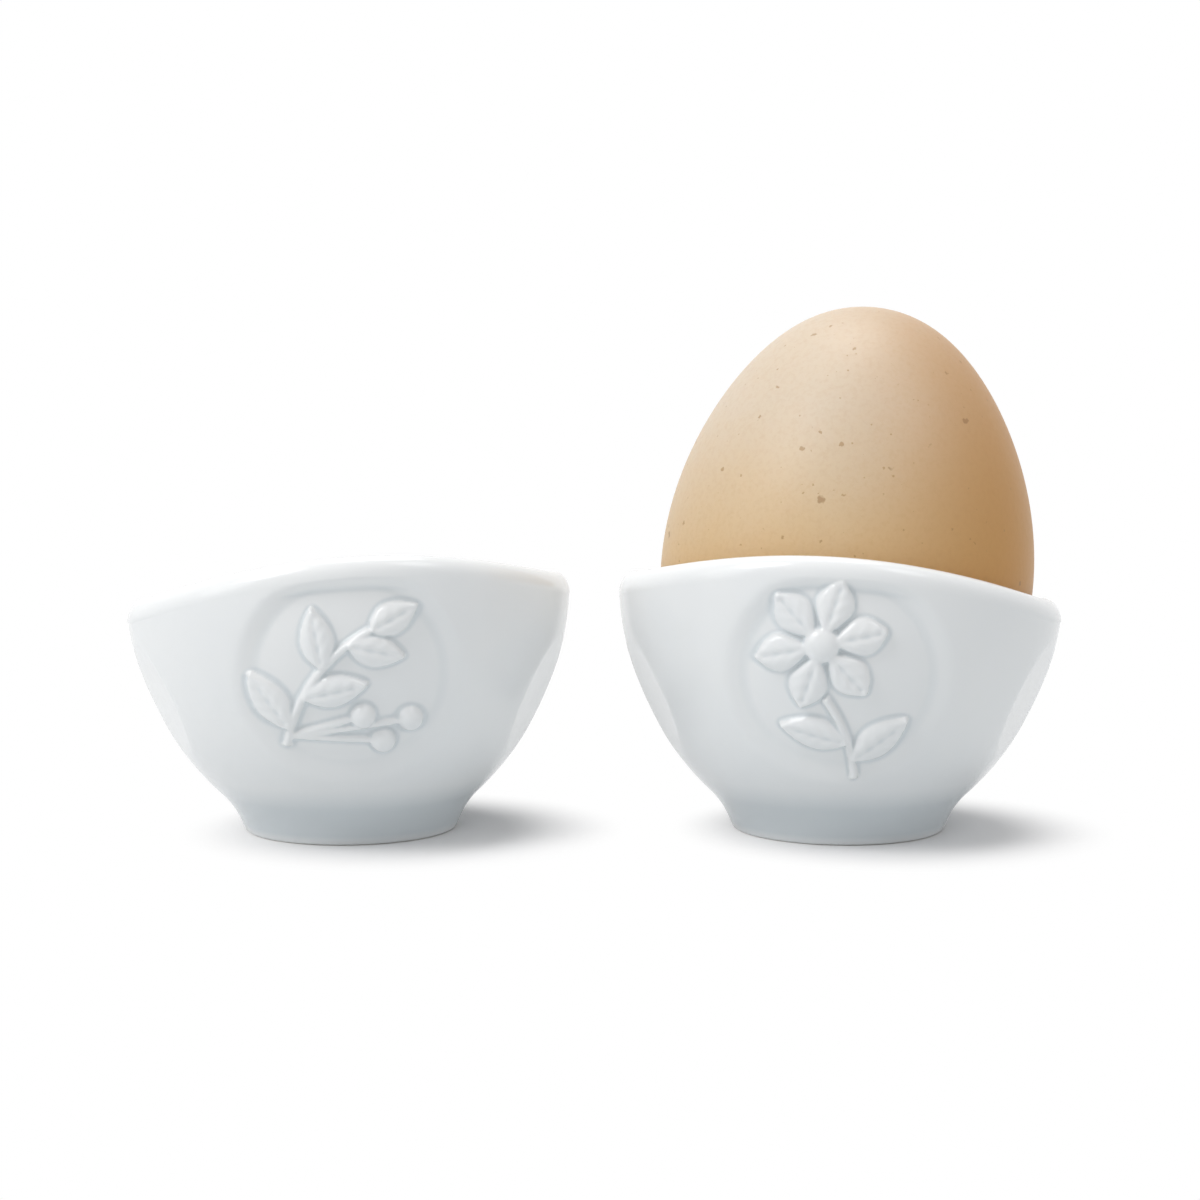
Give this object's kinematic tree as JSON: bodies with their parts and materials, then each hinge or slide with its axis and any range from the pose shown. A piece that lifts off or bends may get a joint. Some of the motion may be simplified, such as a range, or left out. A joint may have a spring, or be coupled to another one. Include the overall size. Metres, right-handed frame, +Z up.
{
  "type": "egg cup set",
  "caption": "Low porcelain egg cups with a wavy thick rim, finger flats and a moulded plant motif, standing as a pair; the right one holds a hen's egg that lifts out.",
  "frame": {"origin": "on the table, halfway between the two cups", "axes": "+X from the left cup to the right cup, -Y towards the fronts of the cups, +Z up"},
  "size_m": [0.1202, 0.0572, 0.0673],
  "materials": {
    "porcelain": "clear gloss glaze over white hard porcelain",
    "eggshell": "satin brown shell with fine flecks"
  },
  "bodies": {
    "cups": {"left_cup": "porcelain", "right_cup": "porcelain"},
    "egg": {"egg": "eggshell"}
  },
  "joints": [
    {"name": "egg_lift", "type": "slide", "parent": "cups", "child": "egg", "axis": [0, 0, 1], "range_m": [0, 0.036]}
  ]
}
